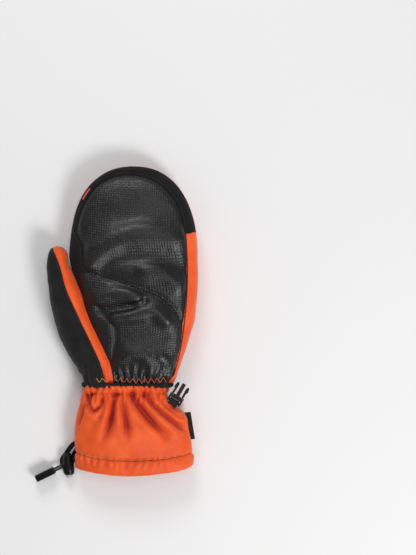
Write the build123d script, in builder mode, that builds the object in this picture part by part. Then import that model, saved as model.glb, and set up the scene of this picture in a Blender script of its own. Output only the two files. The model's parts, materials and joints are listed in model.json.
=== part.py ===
"""Left-hand ski mitten lying on its back: +Z is the palm's normal, +Y runs to the fingertips and the
thumb is on the -X side. The origin is the centre of the footprint, on the surface it lies on. Millimetres."""

from build123d import *
from math import cos, radians, sin
import os

os.makedirs("parts", exist_ok=True)

# Whole mitten
WRIST_Y = -72.0  # seam between the hand and the cuff
FLEX_Y = -3.0  # the thumb's flex line, where its tube leaves the heel of the hand
BACK_SEAM_Z = 12.0  # the back panels lie below this height and the side and palm panels above it
SINK = 0.8  # outer forms are drawn this far below the floor, then cut off flat at the floor
CORNER_SHARE = 0.46  # corner radius of every cross-section, as a share of its height
TALL = 60.0  # higher than anything on the mitten
WIDE = 200.0  # wider than anything on the mitten

# Layers of the hand and of the thumb, as depths below the outer face
SHELL = 1.2
HAND_PADDED = 6.2
HAND_SEALED = 6.6
HAND_LINED = 8.6
THUMB_PADDED = 4.6
THUMB_SEALED = 4.9
THUMB_LINED = 6.5

# Layers of the cuff
CUFF_PADDED = 4.2
CUFF_LINED = 5.4
CUFF_SEAM_Z = 18.0

# Cross-sections of the outer face: y, left edge, right edge, top
HEEL_STATIONS = (
    (WRIST_Y, -42.5, 52.5, 36.0),
    (-62.0, -41.5, 56.5, 38.5),
    (-50.0, -48.6, 61.6, 41.5),
    (-35.0, -58.3, 67.2, 45.0),
    (-17.0, -65.3, 72.8, 47.0),
    (FLEX_Y, -71.0, 77.3, 48.0),
)
HAND_STATIONS = (
    (FLEX_Y, -29.0, 77.3, 48.0),
    (15.0, -37.0, 79.4, 48.0),
    (30.0, -43.5, 80.6, 48.0),
    (48.0, -52.0, 81.2, 48.0),
)
CUFF_STATIONS = (
    (WRIST_Y, -42.5, 52.5, 36.0),
    (-82.0, -42.8, 49.3, 36.0),
    (-94.0, -47.0, 58.0, 37.5),
    (-103.0, -48.4, 66.5, 39.0),
    (-120.0, -50.8, 70.6, 40.0),
    (-146.0, -52.4, 76.0, 39.0),
    (-168.0, -54.0, 74.0, 36.0),
)
# Cross-sections of the thumb also give the underside: y, left edge, right edge, bottom, top
THUMB_GAP = 0.4
THUMB_STATIONS = (
    (FLEX_Y + THUMB_GAP, -71.0, -33.4, 1.5, 46.0),
    (8.0, -73.8, -36.8, 2.0, 45.5),
    (21.0, -77.0, -42.4, 2.5, 45.0),
    (34.0, -79.2, -47.9, 3.0, 44.0),
    (47.0, -80.6, -53.6, 4.0, 42.5),
)
# Rounded ends: both follow a superellipse in plan and in height
END_STEPS = (0.0, 0.3, 0.55, 0.75, 0.88, 0.96, 0.995)
END_POWER = 2.3
HAND_END = {"y": 66.0, "length": 100.6, "x": 11.9, "half_width": 68.9, "mid_z": 22.0, "top": 48.0}
THUMB_END = {"y": 60.0, "length": 19.6, "x": -70.15, "half_width": 11.05, "mid_z": 22.5, "top": 40.0}
THUMB_END_BOTTOM = 6.0


def lofted(stations, ruled=False):
    """A solid through rounded rectangles that stand across the mitten."""
    with BuildPart() as form:
        for y, left, right, low, high in stations:
            middle = ((left + right) / 2, y, (low + high) / 2)
            with BuildSketch(Plane(origin=middle, x_dir=(1, 0, 0), z_dir=(0, -1, 0))):
                width, height = right - left, high - low
                RectangleRounded(width, height, CORNER_SHARE * min(width, height))
        loft(ruled=ruled)
    return form.part


def rounded_end(end, inset, bottom):
    """The cross-sections of a rounded end, for the face this far below the outer one."""
    stations = []
    for step in END_STEPS:
        share = (1 - step**END_POWER) ** (1 / END_POWER)
        half_width = (end["half_width"] - inset) * share
        low = end["mid_z"] - (end["mid_z"] - bottom) * share
        high = end["mid_z"] + (end["top"] - inset - end["mid_z"]) * share
        y = end["y"] + (end["length"] - inset) * step
        stations.append((y, end["x"] - half_width, end["x"] + half_width, low, high))
    return stations


def floor_stations(stations, inset):
    """Sections of a piece that lies on the floor. The outer face sinks a little, to be cut off flat."""
    bottom = inset if inset else -SINK
    return [(y, left + inset, right - inset, bottom, top - inset) for y, left, right, top in stations]


def hand_form(inset):
    """Heel and fingers of the hand in one solid, without the thumb."""
    bottom = inset if inset else -SINK
    heel = lofted(floor_stations(HEEL_STATIONS, inset))
    fingers = lofted(floor_stations(HAND_STATIONS, inset) + rounded_end(HAND_END, inset, bottom))
    with BuildPart() as form:
        add(heel)
        add(fingers)
        split(bisect_by=Plane.XY, keep=Keep.TOP)
    return form.part


def thumb_form(inset):
    """The thumb's tube, from its flex line to its tip."""
    tube = [
        (y, left + inset, right - inset, low + inset, top - inset)
        for y, left, right, low, top in THUMB_STATIONS
    ]
    return lofted(tube + rounded_end(THUMB_END, inset, THUMB_END_BOTTOM + inset))


def cuff_form(inset):
    """The cuff, from the wrist seam to just past the hem."""
    with BuildPart() as form:
        add(lofted(floor_stations(CUFF_STATIONS, inset), ruled=True))
        split(bisect_by=Plane.XY, keep=Keep.TOP)
    return form.part


def between(outer, inner):
    """The layer that lies between two nested forms."""
    with BuildPart() as wall:
        add(outer)
        add(inner, mode=Mode.SUBTRACT)
    return wall.part


def block(x_range, y_range, z_range):
    """A plain block between these limits, used to part one panel from the next."""
    low = (x_range[0], y_range[0], z_range[0])
    size = [stop - start for start, stop in (x_range, y_range, z_range)]
    with BuildPart(Plane(origin=low)) as made:
        Box(*size, align=(Align.MIN, Align.MIN, Align.MIN))
    return made.part


def plan_block(*edges, low=BACK_SEAM_Z, high=TALL):
    """A block standing on the plan outline that these edges close, each a smooth line through its points."""
    with BuildPart() as made:
        with BuildSketch(Plane.XY.offset(low)):
            with BuildLine():
                for edge in edges:
                    if len(edge) > 2:
                        Spline(*edge)
                    else:
                        Line(*edge)
            make_face()
        extrude(amount=high - low)
    return made.part


def cut_from(source, keep=(), drop=()):
    """The part of a layer inside every block in keep and outside every block in drop."""
    with BuildPart() as piece:
        add(source)
        for zone in keep:
            add(zone, mode=Mode.INTERSECT)
        for zone in drop:
            add(zone, mode=Mode.SUBTRACT)
    return piece.part


def finish(name, shape):
    """Labels a finished piece and writes its STEP file."""
    shape.label = name
    export_step(shape, f"parts/{name}.step")


# Every nested face is drawn once and shared by the layers on its two sides.
hand_faces = {depth: hand_form(depth) for depth in (0, SHELL, HAND_PADDED, HAND_SEALED, HAND_LINED)}
thumb_faces = {depth: thumb_form(depth) for depth in (0, SHELL, THUMB_PADDED, THUMB_SEALED, THUMB_LINED)}
cuff_faces = {depth: cuff_form(depth) for depth in (0, SHELL, CUFF_PADDED, CUFF_LINED)}
hand_shell = between(hand_faces[0], hand_faces[SHELL])
thumb_shell = between(thumb_faces[0], thumb_faces[SHELL])
cuff_shell = between(cuff_faces[0], cuff_faces[SHELL])

# ------------------------------------------------------------------ seam lines, in plan
FAR = 95.0  # outside the mitten on every side of the plan
PALM_THUMB_SIDE = (
    (-8.6, WRIST_Y - 1),
    (-8.6, -49.5),
    (-17.1, -30.0),
    (-27.5, -6.0),
    (-38.0, 28.0),
    (-48.5, 60.0),
    (-51.0, 92.0),
)
PALM_TIP = ((-51.0, 92.0), (-42.0, 121.0), (-18.2, 149.0), (6.4, 155.0), (33.2, 149.5), (57.8, 126.5), (68.5, 90.7))
PALM_LITTLE_SIDE = ((68.5, 90.7), (70.1, 50.0), (67.4, 2.0), (59.9, -43.1), (49.0, WRIST_Y - 1))
PALM_SEAM = ((-36.4, 52.7), (-7.9, 42.1), (28.5, 29.7), (49.2, 17.3), (64.7, -2.4), (FAR, -45.0))
WEDGE_EDGE = ((-51.4, 96.0), (-43.9, 82.1), (-36.4, 52.7))
STRIPE_OUTER = (
    (-73.8, FAR),
    (-73.8, 78.9),
    (-66.3, 59.7),
    (-58.9, 34.0),
    (-47.1, 8.3),
    (-32.1, -23.8),
    (-21.4, -49.5),
    (-16.0, WRIST_Y - 1),
)
CAP_END_INDEX_Y = 137.0
CAP_END_LITTLE_Y = 92.0
BACK_WRIST_TOP_Y = -38.0
CAP_SPLIT_X = 12.0  # the cap's two ends lie on either side of this line
THUMB_SEAM_Z = 24.0  # height of the seam under the thumb's stripe

palm_zone = plan_block(
    PALM_THUMB_SIDE, PALM_TIP, PALM_LITTLE_SIDE, (PALM_LITTLE_SIDE[-1], PALM_THUMB_SIDE[0])
)
lower_palm_zone = plan_block(
    ((-FAR, 52.7), PALM_SEAM[0]),
    PALM_SEAM,
    (PALM_SEAM[-1], (FAR, -FAR)),
    ((FAR, -FAR), (-FAR, -FAR)),
    ((-FAR, -FAR), (-FAR, 52.7)),
)
wedge_zone = plan_block(
    ((-FAR, 96.0), WEDGE_EDGE[0]), WEDGE_EDGE, (WEDGE_EDGE[-1], (-FAR, 52.7)), ((-FAR, 52.7), (-FAR, 96.0))
)
suede_zone = plan_block(
    STRIPE_OUTER,
    (STRIPE_OUTER[-1], (-FAR, WRIST_Y - 1)),
    ((-FAR, WRIST_Y - 1), (-FAR, FAR)),
    ((-FAR, FAR), STRIPE_OUTER[0]),
    low=-1,
)
above_back_seam = block((-WIDE, WIDE), (-WIDE, WIDE), (BACK_SEAM_Z, TALL))
below_flex_line = block((-WIDE, CAP_SPLIT_X), (-WIDE, FLEX_Y), (BACK_SEAM_Z, TALL))
index_side = block((-WIDE, CAP_SPLIT_X), (FLEX_Y, CAP_END_INDEX_Y), (BACK_SEAM_Z, TALL))
little_side = block((CAP_SPLIT_X, WIDE), (-WIDE, CAP_END_LITTLE_Y), (BACK_SEAM_Z, TALL))
fingers_back = block((-WIDE, WIDE), (BACK_WRIST_TOP_Y, WIDE), (-SINK, TALL))

# ------------------------------------------------------------------ shell of the hand
with BuildPart() as palm_upper_panel:  # embossed leather above the palm seam
    add(cut_from(hand_shell, keep=[palm_zone], drop=[lower_palm_zone, wedge_zone]))
finish("palm_upper_panel", palm_upper_panel.part)

with BuildPart() as palm_lower_panel:  # the same leather from the palm seam to the wrist
    add(cut_from(hand_shell, keep=[palm_zone, lower_palm_zone]))
finish("palm_lower_panel", palm_lower_panel.part)

with BuildPart() as fingertip_cap:  # softshell band round the fingertips
    add(cut_from(hand_shell, keep=[above_back_seam], drop=[palm_zone, index_side, little_side, below_flex_line]))
finish("fingertip_cap", fingertip_cap.part)

with BuildPart() as little_finger_gusset:  # long side gusset on the little finger's side
    add(cut_from(hand_shell, keep=[little_side], drop=[palm_zone]))
finish("little_finger_gusset", little_finger_gusset.part)

with BuildPart() as index_side_gusset:  # narrow strip with a wedge that runs into the palm
    add(cut_from(hand_shell, keep=[index_side], drop=[between(palm_zone, wedge_zone)]))
finish("index_side_gusset", index_side_gusset.part)

with BuildPart() as thumb_heel_panel:  # foot of the thumb's suede, which stays with the heel of the hand
    add(cut_from(hand_shell, keep=[below_flex_line, suede_zone]))
finish("thumb_heel_panel", thumb_heel_panel.part)

with BuildPart() as thumb_stripe_heel:  # foot of the thumb's stripe
    add(cut_from(hand_shell, keep=[below_flex_line], drop=[suede_zone, palm_zone]))
finish("thumb_stripe_heel", thumb_stripe_heel.part)

with BuildPart() as back_panel:  # back of the hand, which the mitten lies on
    add(cut_from(hand_shell, keep=[fingers_back], drop=[above_back_seam]))
finish("back_panel", back_panel.part)

with BuildPart() as back_wrist_panel:  # reinforced panel over the back of the wrist
    add(cut_from(hand_shell, drop=[fingers_back, above_back_seam]))
finish("back_wrist_panel", back_wrist_panel.part)

# ------------------------------------------------------------------ inner layers of the hand
ELASTIC_DEPTH = 2.4
ELASTIC_Y = (-69.0, -61.0)
elastic_zone = cut_from(
    hand_faces[SHELL],
    keep=[block((-WIDE, WIDE), ELASTIC_Y, (BACK_SEAM_Z, TALL))],
    drop=[hand_form(ELASTIC_DEPTH)],
)

with BuildPart() as wrist_elastic:  # flat elastic that gathers the palm side of the wrist
    add(elastic_zone)
finish("wrist_elastic", wrist_elastic.part)

with BuildPart() as hand_insulation:
    add(between(hand_faces[SHELL], hand_faces[HAND_PADDED]))
    add(elastic_zone, mode=Mode.SUBTRACT)
finish("hand_insulation", hand_insulation.part)

with BuildPart() as hand_membrane:  # waterproof insert
    add(between(hand_faces[HAND_PADDED], hand_faces[HAND_SEALED]))
finish("hand_membrane", hand_membrane.part)

with BuildPart() as hand_lining:  # fleece
    add(between(hand_faces[HAND_SEALED], hand_faces[HAND_LINED]))
finish("hand_lining", hand_lining.part)

# ------------------------------------------------------------------ thumb
above_thumb_seam = block((-WIDE, WIDE), (-WIDE, WIDE), (THUMB_SEAM_Z, TALL))

with BuildPart() as thumb_back_panel:  # suede that wipes the goggles
    add(cut_from(thumb_shell, keep=[suede_zone]))
finish("thumb_back_panel", thumb_back_panel.part)

with BuildPart() as thumb_stripe:  # side strip between the thumb's back and its palm side
    add(cut_from(thumb_shell, keep=[above_thumb_seam], drop=[suede_zone]))
finish("thumb_stripe", thumb_stripe.part)

with BuildPart() as thumb_palm_panel:  # leather that grips against the palm
    add(cut_from(thumb_shell, drop=[suede_zone, above_thumb_seam]))
finish("thumb_palm_panel", thumb_palm_panel.part)

with BuildPart() as thumb_insulation:
    add(between(thumb_faces[SHELL], thumb_faces[THUMB_PADDED]))
finish("thumb_insulation", thumb_insulation.part)

with BuildPart() as thumb_membrane:
    add(between(thumb_faces[THUMB_PADDED], thumb_faces[THUMB_SEALED]))
finish("thumb_membrane", thumb_membrane.part)

with BuildPart() as thumb_lining:
    add(between(thumb_faces[THUMB_SEALED], thumb_faces[THUMB_LINED]))
finish("thumb_lining", thumb_lining.part)

# ------------------------------------------------------------------ drawcord and its lock: places and directions
STRAND_ANGLE = 206.0  # direction of the free cord in plan, degrees from +X
STRAND_DIAMETER = 2.2
STRAND_PITCH = 2.5
STRAND_CLEARANCE = 0.3
LOCK_CENTRE = Vector(-59.4, -155.9, 8.8)  # where the cords cross the lock's barrel
LOCK_ANGLE = -84.6  # direction of the push button in plan, degrees from +X
UP = Vector(0, 0, 1)
strand_way = Vector(cos(radians(STRAND_ANGLE)), sin(radians(STRAND_ANGLE)), 0)
strand_side = UP.cross(strand_way)
lock_way = Vector(cos(radians(LOCK_ANGLE)), sin(radians(LOCK_ANGLE)), 0)
CORD_END_START = 17.0  # along the cords from the centre of the lock
CORD_END_LENGTH = 21.4
CORD_END_THICKNESS = 7.1
CORD_END_WIDTH = 12.5
SOCKET_DEPTH = 9.0
STRAND_START = -17.5


def across_strands(distance):
    """A plane square to the free cords, this far along them from the centre of the lock."""
    return Plane(origin=LOCK_CENTRE + strand_way * distance, x_dir=strand_side, z_dir=strand_way)


def across_lock(distance):
    """A plane square to the lock's barrel, this far along it from the cords."""
    return Plane(origin=LOCK_CENTRE + lock_way * distance, x_dir=UP, z_dir=lock_way)


def cord_slot(start, stop, width, height, offset=0.0):
    """A straight passage with round sides along the free cords."""
    with BuildPart() as passage:
        with BuildSketch(across_strands(start)):
            with Locations((offset, 0)):
                SlotOverall(width, height)
        extrude(amount=stop - start)
    return passage.part


PASSAGE_WIDTH = STRAND_PITCH + STRAND_DIAMETER + 2 * STRAND_CLEARANCE
PASSAGE_HEIGHT = STRAND_DIAMETER + 2 * STRAND_CLEARANCE
EYELET_RIM = 1.3
EYELET_SPAN = (-12.0, -8.4)
eyelet_body = cord_slot(*EYELET_SPAN, PASSAGE_WIDTH + 2 * EYELET_RIM, PASSAGE_HEIGHT + 2 * EYELET_RIM)
hem_passage = cord_slot(STRAND_START - 1.5, -8.0, PASSAGE_WIDTH, PASSAGE_HEIGHT)

# ------------------------------------------------------------------ cuff
HEM_STITCH = ((-FAR, -129.5), (12.0, -150.4), (FAR, -138.0))
HEM_EDGE = ((-FAR, -144.3), (8.6, -166.1), (FAR, -151.1))
DRAWCORD_Y = (-155.1, -152.9)
DRAWCORD_DEPTHS = (1.6, 3.8)
DRAWCORD_GAP_Z = (3.5, 14.5)


def arc_zone(arc, top_y, low=-1.0, high=TALL):
    """Everything on the hand's side of a curved line across the cuff, up to a straight one."""
    with BuildPart() as made:
        with BuildSketch(Plane.XY.offset(low)):
            with BuildLine():
                ThreePointArc(*arc)
                Polyline(arc[-1], (FAR, top_y), (-FAR, top_y), arc[0])
            make_face()
        extrude(amount=high - low)
    return made.part


def raised(arc, amount):
    """The same curved line, moved towards the hand."""
    return tuple((x, y + amount) for x, y in arc)


above_stitch = arc_zone(HEM_STITCH, WRIST_Y)
above_edge = arc_zone(HEM_EDGE, WRIST_Y)
above_fold = arc_zone(raised(HEM_EDGE, SHELL), WRIST_Y)
above_cuff_seam = block((-WIDE, WIDE), (-WIDE, WIDE), (CUFF_SEAM_Z, TALL))
cuff_middle = between(cuff_faces[SHELL], cuff_faces[CUFF_PADDED])

with BuildPart() as cuff_palm_panel:
    add(cut_from(cuff_shell, keep=[above_stitch, above_cuff_seam]))
finish("cuff_palm_panel", cuff_palm_panel.part)

with BuildPart() as cuff_back_panel:
    add(cut_from(cuff_shell, keep=[above_stitch], drop=[above_cuff_seam]))
finish("cuff_back_panel", cuff_back_panel.part)

with BuildPart() as cuff_padding:
    add(cut_from(cuff_middle, keep=[above_stitch]))
finish("cuff_padding", cuff_padding.part)

with BuildPart() as cuff_lining:
    add(cut_from(between(cuff_faces[CUFF_PADDED], cuff_faces[CUFF_LINED]), keep=[above_stitch]))
finish("cuff_lining", cuff_lining.part)

with BuildPart() as hem_channel:  # hem turned in and stitched down, hollow for the drawcord
    add(cut_from(between(cuff_faces[0], cuff_faces[CUFF_LINED]), keep=[above_edge], drop=[above_stitch]))
    add(cut_from(cuff_middle, keep=[above_fold], drop=[above_stitch]), mode=Mode.SUBTRACT)
    add(hem_passage, mode=Mode.SUBTRACT)
    add(eyelet_body, mode=Mode.SUBTRACT)
finish("hem_channel", hem_channel.part)

with BuildPart() as hem_drawcord:  # elastic cord round the hem, open where its ends leave through the eyelet
    add(between(cuff_form(DRAWCORD_DEPTHS[0]), cuff_form(DRAWCORD_DEPTHS[1])))
    add(block((-WIDE, WIDE), DRAWCORD_Y, (-SINK, TALL)), mode=Mode.INTERSECT)
    add(block((-WIDE, -40.0), (-WIDE, WIDE), DRAWCORD_GAP_Z), mode=Mode.SUBTRACT)
finish("hem_drawcord", hem_drawcord.part)

with BuildPart() as cord_exit_eyelet:
    add(eyelet_body)
    add(cord_slot(-13.0, -7.0, PASSAGE_WIDTH, PASSAGE_HEIGHT), mode=Mode.SUBTRACT)
finish("cord_exit_eyelet", cord_exit_eyelet.part)

LABEL_THICKNESS = 0.8
with BuildPart() as woven_side_label:  # plain woven label caught in the side seam
    with BuildSketch(Plane.XY.offset(CUFF_SEAM_Z - LABEL_THICKNESS)):
        with BuildLine():
            Polyline((60.0, -99.8), (74.2, -99.1), (79.2, -128.7), (64.0, -132.0), close=True)
        make_face()
    extrude(amount=LABEL_THICKNESS)
    add(cuff_faces[0], mode=Mode.SUBTRACT)
finish("woven_side_label", woven_side_label.part)

# ------------------------------------------------------------------ tether of the cord lock
TETHER_THICKNESS = 1.0
TETHER_RISE = ((-128.0, 13.0), (-138.0, 6.5), (-145.0, 2.4), (-150.0, 1.1), (-164.0, 1.1))
with BuildPart() as lock_tether:  # webbing loop from the side seam, round under the lock and back
    with BuildSketch(Plane.XY.offset(0.5)):
        with BuildLine():
            Spline((-44.0, -130.0), (-58.5, -136.0), (-66.5, -147.0), (-69.6, -155.0), (-65.0, -162.0))
            Spline((-65.0, -162.0), (-59.0, -163.0), (-54.5, -158.5), (-53.2, -150.0), (-44.0, -142.0))
            Line((-44.0, -142.0), (-44.0, -130.0))
        make_face()
        with BuildLine():
            Spline((-56.6, -141.0), (-61.6, -147.2), (-64.8, -153.6), (-62.5, -156.6))
            Spline((-62.5, -156.6), (-58.5, -156.4), (-55.6, -151.5), (-56.6, -141.0))
        make_face(mode=Mode.SUBTRACT)
    extrude(amount=TALL)
    with BuildSketch(Plane.YZ.offset(-FAR), mode=Mode.PRIVATE) as rise:
        with BuildLine():
            Polyline(*TETHER_RISE)
            Polyline(*[(y, z + TETHER_THICKNESS) for y, z in TETHER_RISE])
            Line(TETHER_RISE[0], (TETHER_RISE[0][0], TETHER_RISE[0][1] + TETHER_THICKNESS))
            Line(TETHER_RISE[-1], (TETHER_RISE[-1][0], TETHER_RISE[-1][1] + TETHER_THICKNESS))
        make_face()
    extrude(rise.sketch, amount=2 * FAR, mode=Mode.INTERSECT)
    add(cuff_faces[0], mode=Mode.SUBTRACT)
finish("lock_tether", lock_tether.part)

# ------------------------------------------------------------------ cord lock
BARREL_SPAN = (-11.4, 12.5)
BORE_START = -9.2
PLUNGER_RADIUS = 3.4
PLUNGER_SPAN = (-3.8, 15.7)
PLUNGER_CLEARANCE = 0.15
BUTTON_TRAVEL = 3.0

with BuildPart() as cord_lock_barrel:
    with BuildSketch(Plane(origin=LOCK_CENTRE, x_dir=lock_way, z_dir=lock_way.cross(UP))):
        with BuildLine():
            ThreePointArc((BARREL_SPAN[0], 0), (-10.5, 3.2), (-8.0, 4.7))
            Spline((-8.0, 4.7), (-1.0, 5.8), (5.0, 6.3), (10.5, 5.6))
            ThreePointArc((10.5, 5.6), (12.0, 4.9), (BARREL_SPAN[1], 4.0))
            Polyline((BARREL_SPAN[1], 4.0), (BARREL_SPAN[1], 0), (BARREL_SPAN[0], 0))
        make_face()
    revolve(axis=Axis(LOCK_CENTRE, lock_way))
    with BuildSketch(across_lock(BORE_START)):
        Circle(PLUNGER_RADIUS + PLUNGER_CLEARANCE)
    extrude(amount=BARREL_SPAN[1] - BORE_START + 1, mode=Mode.SUBTRACT)
    add(cord_slot(-9.0, 9.0, PASSAGE_WIDTH, PASSAGE_HEIGHT), mode=Mode.SUBTRACT)
finish("cord_lock_barrel", cord_lock_barrel.part)

with BuildPart() as cord_lock_plunger:
    with BuildSketch(across_lock(PLUNGER_SPAN[0])):
        Circle(PLUNGER_RADIUS)
    extrude(amount=PLUNGER_SPAN[1] - PLUNGER_SPAN[0])
    fillet(cord_lock_plunger.edges().group_by(Axis(LOCK_CENTRE, lock_way))[-1], 1.6)
    add(
        cord_slot(-6.0, 6.0, PASSAGE_WIDTH + BUTTON_TRAVEL, PASSAGE_HEIGHT, offset=BUTTON_TRAVEL / 2),
        mode=Mode.SUBTRACT,
    )
finish("cord_lock_plunger", cord_lock_plunger.part)

SPRING_RADIUS = 2.5
SPRING_WIRE = 0.25
SPRING_END_GAP = 0.3
SPRING_TURNS = 4
spring_height = PLUNGER_SPAN[0] - BORE_START - 2 * SPRING_END_GAP
with BuildPart() as cord_lock_spring:
    with BuildLine() as coil:
        Helix(
            pitch=spring_height / SPRING_TURNS,
            height=spring_height,
            radius=SPRING_RADIUS,
            center=LOCK_CENTRE + lock_way * (BORE_START + SPRING_END_GAP),
            direction=lock_way,
        )
    with BuildSketch(Plane(origin=coil.line @ 0, z_dir=coil.line % 0)):
        Circle(SPRING_WIRE)
    sweep()
finish("cord_lock_spring", cord_lock_spring.part)

# ------------------------------------------------------------------ free ends of the drawcord
for strand, side in (("drawcord_strand_upper", -1), ("drawcord_strand_lower", 1)):
    with BuildPart() as drawcord_strand:
        with BuildSketch(across_strands(STRAND_START)):
            with Locations((side * STRAND_PITCH / 2, 0)):
                Circle(STRAND_DIAMETER / 2)
        extrude(amount=CORD_END_START + SOCKET_DEPTH - STRAND_START)
    finish(strand, drawcord_strand.part)

GRIP_GROOVES = (16.6, 18.7)
GROOVE_WIDTH = 0.9
GROOVE_DEPTH = 0.5
PEG_RADIUS = 1.2
PEG_PLACE = 14.0
HALVES_PLANE = 0.6  # the clip's two halves meet this far off the middle of its thickness


def cord_end_block():
    """The whole clip, with its grooves and cord sockets, before it is parted in two."""
    with BuildPart() as clip:
        with BuildSketch(across_strands(CORD_END_START)):
            RectangleRounded(CORD_END_THICKNESS, CORD_END_WIDTH, 1.1)
        extrude(amount=CORD_END_LENGTH)
        fillet(clip.faces().sort_by(Axis(LOCK_CENTRE, strand_way))[-1].edges(), 1.0)
        for place in GRIP_GROOVES:
            with BuildSketch(across_strands(CORD_END_START + place)):
                Rectangle(2 * CORD_END_THICKNESS, 2 * CORD_END_WIDTH)
                RectangleRounded(
                    CORD_END_THICKNESS - 2 * GROOVE_DEPTH,
                    CORD_END_WIDTH - 2 * GROOVE_DEPTH,
                    0.8,
                    mode=Mode.SUBTRACT,
                )
            extrude(amount=GROOVE_WIDTH, mode=Mode.SUBTRACT)
        with BuildSketch(across_strands(CORD_END_START)):
            with GridLocations(STRAND_PITCH, 0, 2, 1):
                Circle(STRAND_DIAMETER / 2)
        extrude(amount=SOCKET_DEPTH, mode=Mode.SUBTRACT)
    return clip.part


halves_plane = Plane(origin=LOCK_CENTRE + strand_side * HALVES_PLANE, z_dir=strand_side)
peg_plane = Plane(
    origin=LOCK_CENTRE + strand_way * (CORD_END_START + PEG_PLACE) + strand_side * HALVES_PLANE,
    z_dir=strand_side,
)

with BuildPart() as cord_end_housing:
    add(cord_end_block())
    split(bisect_by=halves_plane, keep=Keep.BOTTOM)
    with BuildSketch(peg_plane):
        Circle(PEG_RADIUS)
    extrude(amount=1.6)
finish("cord_end_housing", cord_end_housing.part)

with BuildPart() as cord_end_cover:
    add(cord_end_block())
    split(bisect_by=halves_plane, keep=Keep.TOP)
    with BuildSketch(peg_plane):
        Circle(PEG_RADIUS + 0.1)
    extrude(amount=1.8, mode=Mode.SUBTRACT)
finish("cord_end_cover", cord_end_cover.part)

# ------------------------------------------------------------------ side-release buckle, male half
BUCKLE_CENTRE = Vector(59.4, -81.1, 31.5)  # middle of the shoulder that the prongs stand on
BUCKLE_ANGLE = 59.0  # direction of the prongs in plan, degrees from +X
BUCKLE_DROOP = 12.0  # the prongs point this far below level
BUCKLE_WIDTH = 16.0
BUCKLE_THICKNESS = 5.0
BAR_BACK = 7.3  # from the shoulder's front to the webbing bar
BAR_RADIUS = 1.4
ARM_WIDTH = 2.0
SHOULDER_DEPTH = 4.0
TONGUE_LENGTH = 14.5
TONGUE_WIDTH = 4.0
TONGUE_THICKNESS = 3.0
PRONG_THICKNESS = 3.2
PRONG_ROOT = (5.9, -0.9)  # centre of a prong's root knuckle, across and along the buckle
ROOT_RADIUS = 0.9
ROOT_CLEARANCE = 0.25

buckle_side = Vector(sin(radians(BUCKLE_ANGLE)), -cos(radians(BUCKLE_ANGLE)), 0)
buckle_way = Vector(
    cos(radians(BUCKLE_ANGLE)) * cos(radians(BUCKLE_DROOP)),
    sin(radians(BUCKLE_ANGLE)) * cos(radians(BUCKLE_DROOP)),
    -sin(radians(BUCKLE_DROOP)),
)
buckle_up = buckle_side.cross(buckle_way)
bar_centre = BUCKLE_CENTRE - buckle_way * BAR_BACK


def buckle_level(height):
    """A plane parallel to the buckle's face, with its y axis along the prongs."""
    return Plane(origin=BUCKLE_CENTRE + buckle_up * height, x_dir=buckle_side, z_dir=buckle_up)


def across_bar(distance):
    """A plane square to the webbing bar, this far from the buckle's middle."""
    return Plane(origin=bar_centre + buckle_side * distance, x_dir=buckle_way, z_dir=buckle_side)


with BuildPart() as buckle_body:  # shoulder, arms, webbing bar and tongue, moulded in one
    with BuildSketch(buckle_level(-BUCKLE_THICKNESS / 2)):
        with Locations((0, -SHOULDER_DEPTH / 2)):
            RectangleRounded(BUCKLE_WIDTH, SHOULDER_DEPTH, 1.0)
        for side in (-1, 1):
            with Locations((side * (BUCKLE_WIDTH - ARM_WIDTH) / 2, -BAR_BACK / 2 - 1)):
                RectangleRounded(ARM_WIDTH, BAR_BACK + 2.2, 0.9)
    extrude(amount=BUCKLE_THICKNESS)
    with BuildSketch(across_bar(-BUCKLE_WIDTH / 2 + 1)):
        Circle(BAR_RADIUS)
    extrude(amount=BUCKLE_WIDTH - 2)
    with BuildSketch(buckle_level(-TONGUE_THICKNESS / 2)):
        with Locations((0, TONGUE_LENGTH / 2 - 1)):
            RectangleRounded(TONGUE_WIDTH, TONGUE_LENGTH + 2, 0.5)
    extrude(amount=TONGUE_THICKNESS)
    with BuildSketch(buckle_level(-BUCKLE_THICKNESS / 2 - 1)):
        for side in (-1, 1):
            with Locations((side * PRONG_ROOT[0], PRONG_ROOT[1])):
                Circle(ROOT_RADIUS + ROOT_CLEARANCE)
            with Locations((side * PRONG_ROOT[0], PRONG_ROOT[1] + 2)):
                Rectangle(2 * (ROOT_RADIUS + ROOT_CLEARANCE), 4)
    extrude(amount=BUCKLE_THICKNESS + 2, mode=Mode.SUBTRACT)
finish("buckle_body", buckle_body.part)

PRONG_OUTLINE = (
    (5.1, PRONG_ROOT[1]),
    (5.05, 0.4),
    (4.6, 1.4),
    (4.5, 6.0),
    (4.2, 8.5),
    (4.6, 12.0),
    (6.1, 13.4),
    (7.5, 12.0),
    (8.1, 8.6),
    (7.9, 7.0),
    (6.9, 6.2),
    (6.9, 1.2),
    (6.7, 0.3),
    (6.7, PRONG_ROOT[1]),
)
for prong, side in (("buckle_prong_left", -1), ("buckle_prong_right", 1)):
    with BuildPart() as buckle_prong:
        with BuildSketch(buckle_level(-PRONG_THICKNESS / 2)):
            with BuildLine():
                Polyline(*[(side * across, along) for across, along in PRONG_OUTLINE], close=True)
            make_face()
            with Locations((side * PRONG_ROOT[0], PRONG_ROOT[1])):
                Circle(ROOT_RADIUS)
        extrude(amount=PRONG_THICKNESS)
    finish(prong, buckle_prong.part)

WEBBING_WIDTH = 10.0
WEBBING_INNER = 1.8
WEBBING_OUTER = 2.8
WEBBING_DROP = 14.0  # from the bar down to the side seam
WEBBING_LEAN = 6.0  # and this far back, square to the bar
level_way = Vector(cos(radians(BUCKLE_ANGLE)), sin(radians(BUCKLE_ANGLE)), 0)
webbing_fall = -level_way * WEBBING_LEAN - UP * WEBBING_DROP

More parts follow.
